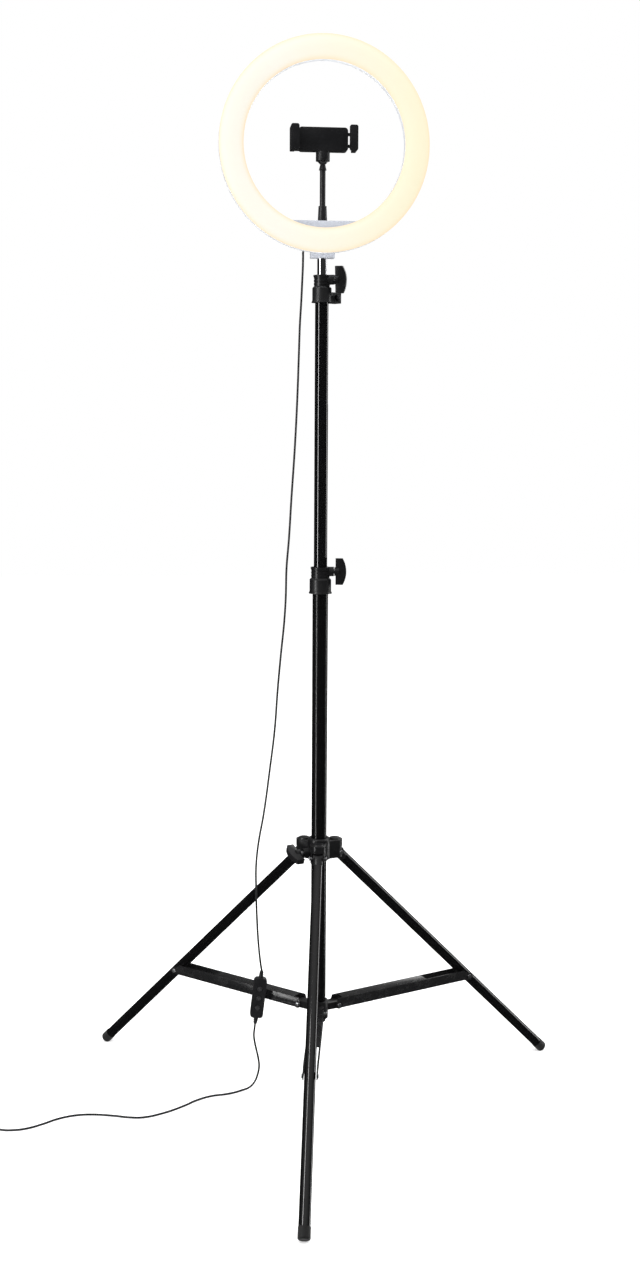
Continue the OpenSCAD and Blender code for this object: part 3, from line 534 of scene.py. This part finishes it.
finishOf = dict(slotOf)
for brace in ("brace_front", "brace_right", "brace_left"):
    finishOf[brace] = "brace_black"
finishOf["mid_tube"] = "pole_bright"
finishOf["column_tube"] = "pole_satin"
finishOf["clamp_bolt"] = "bolt_dark"
# the base's two pieces take the copy of the white plastic that has painted shade in its colour
for cover in ("base_housing", "base_cover"):
    finishOf[cover] = "base_white_in_painted_shade"
for name, width in edgeSetup.items():
    finishPiece(softened(name, width), finishes[finishOf[name]], bodyOf[name], [name])
for name, node in nodes.items():
    node.data.materials.clear()
    node.data.materials.append(finishes[finishOf[name]])
print("edges softened on", len(edgeSetup), "pieces")


# USB plug: a moulded body with grip ribs, and a folded metal shell with its two windows
plugSetup = {
    "start": (-466, -33, 4),    # where the lead enters, millimetres
    "relief": 8, "reliefRadii": (2.0, 2.8),
    "body": (26, 16, 8),        # length, width, height
    "bodyEdge": 2.2,
    "shell": (12, 12, 4.5), "sheet": 0.35, "shellEdge": 0.5,
    "windows": 2.2, "windowsAt": 2.6,
    "ribs": 4, "ribsFrom": 4, "ribSpacing": 2.4, "ribGroove": (1.0, 0.6, 6),    # width, depth, height
    "tongue": (10.8, -1.7, -0.1),   # width, underside and top against the middle
    "fineEdge": 0.2,
}


def block(name, low, high):
    # a box between two corners, in millimetres
    low, high = Vector(low) * millimetre, Vector(high) * millimetre
    deselectAll()
    bpy.ops.mesh.primitive_cube_add(size=1, location=(low + high) / 2)
    piece = bpy.context.object
    piece.scale = high - low
    return settle(piece, name)


def cutAway(piece, tool):
    # takes a tool's shape out of a piece and removes the tool
    activate(piece)
    cut = piece.modifiers.new("cut", "BOOLEAN")
    cut.operation = "DIFFERENCE"
    cut.solver = "EXACT"
    cut.object = tool
    bpy.ops.object.modifier_apply(modifier="cut")
    bpy.data.objects.remove(tool, do_unlink=True)


def makePlug(setup):
    x, y, z = setup["start"]
    length, width, height = setup["body"]
    near = x - setup["relief"]
    far = near - length
    body = block("plugBody", (far, y - width / 2, z - height / 2), (near, y + width / 2, z + height / 2))
    applyBevel(body, setup["bodyEdge"] * millimetre, 4, 60)
    grooveWide, grooveDeep, grooveTall = setup["ribGroove"]
    halfGroove = Vector((grooveWide / 2, grooveDeep, grooveTall / 2))
    for rib in range(setup["ribs"]):
        for side in (-1, 1):
            middle = Vector((near - setup["ribsFrom"] - rib * setup["ribSpacing"], y + side * width / 2, z))
            cutAway(body, block("ribCut", middle - halfGroove, middle + halfGroove))
    applyBevel(body, setup["fineEdge"] * millimetre, 2, 50)
    narrow, broad = setup["reliefRadii"]
    relief = rod("plugRelief", Vector((x, y, z)) * millimetre, Vector((near - 0.5, y, z)) * millimetre,
                 narrow * millimetre, 32, broad * millimetre)
    applyBevel(relief, 0.4 * millimetre, 2, 50)
    body = joinPieces("plugOvermould", [body, relief])
    smoothByAngle(body, 32)
    reach, wide, tall = setup["shell"]
    sheet, window = setup["sheet"], setup["windows"]
    shell = block("plugShell", (far - reach, y - wide / 2, z - tall / 2),
                  (far + 0.5, y + wide / 2, z + tall / 2))
    applyBevel(shell, setup["shellEdge"] * millimetre, 3, 60)
    cutAway(shell, block("hollow", (far - reach - 1, y - wide / 2 + sheet, z - tall / 2 + sheet),
                         (far - 0.2, y + wide / 2 - sheet, z + tall / 2 - sheet)))
    for side in (-1, 1):
        middle = y + side * setup["windowsAt"]
        cutAway(shell, block("window", (far - reach / 2 - window / 2, middle - window / 2, z + 1),
                             (far - reach / 2 + window / 2, middle + window / 2, z + 4)))
    smoothByAngle(shell, 32)
    tongueWide, underside, top = setup["tongue"]
    tongue = block("plugTongue", (far - reach + 0.8, y - tongueWide / 2, z + underside),
                   (far - 0.3, y + tongueWide / 2, z + top))
    applyBevel(tongue, setup["fineEdge"] * millimetre, 2, 50)
    return body, shell, tongue


plugBody, plugShell, plugTongue = makePlug(plugSetup)
finishPiece(plugBody, finishes["lead_black"], "column", ["usb_plug"])
finishPiece(plugShell, finishes["steel_bright"], "column", ["usb_plug"])
finishPiece(plugTongue, finishes["bush_white"], "column", ["usb_plug"])
print("plug made")


# cross-head screws in the back of the base, and the set screw of the lower bracket
screwSetup = {
    "head": (5.0, 1.3),         # diameter and height, millimetres
    "headEdge": 0.55,
    "sunk": 0.2,                # how far a head's underside lies in its face
    "slot": (3.2, 0.7, 0.9),    # length, width and depth of the cross
    "backAt": 8.0,              # the base's rear face
    "across": 42.0,
    "height": 1116.7,
    "bracket": (-41, 13.0, 121),    # direction in degrees, radius and height on the lower bracket
}


def screwHead(name, place, direction, setup):
    # a pan head facing a direction, its underside at the place
    place, direction = Vector(place) * millimetre, Vector(direction).normalized()
    width, tall = setup["head"]
    head = rod(name, place, place + direction * tall * millimetre, width / 2 * millimetre, 40)
    applyBevel(head, setup["headEdge"] * millimetre, 4, 60)
    slotLong, slotWide, slotDeep = setup["slot"]
    for turn in (45, 135):
        deselectAll()
        bpy.ops.mesh.primitive_cube_add(size=1, location=place + direction * tall * millimetre)
        cross = bpy.context.object
        cross.scale = Vector((slotLong, slotWide, slotDeep * 2)) * millimetre
        cross.rotation_mode = "QUATERNION"
        cross.rotation_quaternion = direction.to_track_quat("Z", "Y") @ Quaternion((0, 0, 1),
                                                                                 math.radians(turn))
        cutAway(head, settle(cross, "crossCut"))
    smoothByAngle(head, 32)
    return head


for side, label in ((-1, "Left"), (1, "Right")):
    place = (side * screwSetup["across"], screwSetup["backAt"] - screwSetup["sunk"], screwSetup["height"])
    coverScrew = screwHead("coverScrew" + label, place, (0, 1, 0), screwSetup)
    finishPiece(coverScrew, finishes["steel_bright"], "lamp")
bracketTurn, bracketRadius, bracketHeight = screwSetup["bracket"]
outwards = Vector((math.cos(math.radians(bracketTurn)), math.sin(math.radians(bracketTurn)), 0))
bracketPlace = outwards * (bracketRadius - screwSetup["sunk"]) + Vector((0, 0, bracketHeight))
bracketScrew = screwHead("bracketScrew", bracketPlace, outwards, screwSetup)
finishPiece(bracketScrew, finishes["steel_bright"], "column")
print("screws made")


# floor, lights and surroundings
lightSetup = [
    # name, place, aims at, size, power, whether gloss mirrors it
    ("stripLeft", (-2.25, -1.35, 1.9), (0, 0, 1.9), (0.2, 5.2), 66, True),
    ("stripRight", (2.45, 0.75, 1.9), (0, 0, 1.9), (0.3, 5.2), 30, True),
    ("sideSoft", (2.6, -1.2, 2.2), (0, 0, 0.6), (1.6, 1.6), 16, False),
    ("topSoft", (0, -0.4, 3.6), (0, 0, 0.5), (3.0, 3.0), 70, False),
    ("backRim", (1.2, 2.8, 1.8), (0, 0, 0.8), (1.0, 1.8), 14, True),
]
surroundSetup = {"seen": 1.0, "diffuse": 0.75, "mirroredSide": 0.03, "mirroredTop": 0.55}


def makeLights(lights):
    for name, place, target, size, power, mirrored in lights:
        data = bpy.data.lights.new(name, "AREA")
        data.shape = "RECTANGLE"
        data.size, data.size_y = size
        data.energy = power
        lamp = bpy.data.objects.new(name, data)
        bpy.context.scene.collection.objects.link(lamp)
        lamp.visible_glossy = mirrored
        lamp.location = place
        lamp.rotation_euler = (Vector(target) - Vector(place)).to_track_quat("-Z", "Y").to_euler()


def makeSurroundings(setup):
    # white where the camera looks past the stand; in reflections, dark at the sides and paler overhead
    world = bpy.data.worlds.new("paleStudio")
    bpy.context.scene.world = world
    world.use_nodes = True
    tree = world.node_tree

    def made(kind, **sockets):
        node = tree.nodes.new("ShaderNode" + kind)
        for name, value in sockets.items():
            node.inputs[name.replace("_", " ")].default_value = value
        return node

    background = tree.nodes["Background"]
    background.inputs["Color"].default_value = (1, 1, 1, 1)
    path = made("LightPath")
    upwards = made("SeparateXYZ")
    tree.links.new(made("TexCoord").outputs["Generated"], upwards.inputs["Vector"])
    mirrored = made("MapRange", From_Min=0.25, From_Max=0.95, To_Min=setup["mirroredSide"],
                    To_Max=setup["mirroredTop"])
    tree.links.new(upwards.outputs["Z"], mirrored.inputs["Value"])
    struck = made("Mix", A=setup["diffuse"])
    tree.links.new(path.outputs["Is Glossy Ray"], struck.inputs["Factor"])
    tree.links.new(mirrored.outputs["Result"], struck.inputs["B"])
    seen = made("Mix", B=setup["seen"])
    tree.links.new(path.outputs["Is Camera Ray"], seen.inputs["Factor"])
    tree.links.new(struck.outputs["Result"], seen.inputs["A"])
    tree.links.new(seen.outputs["Result"], background.inputs["Strength"])
    bpy.context.scene.view_settings.view_transform = "Standard"


deselectAll()
bpy.ops.mesh.primitive_plane_add(size=14, location=(0, 0, 0))
floor = bpy.context.object
floor.name = "studioFloor"
floor.data.materials.append(studioFloor("paleFloor"))
floor.visible_glossy = False
makeLights(lightSetup)
makeSurroundings(surroundSetup)
print("studio ready")
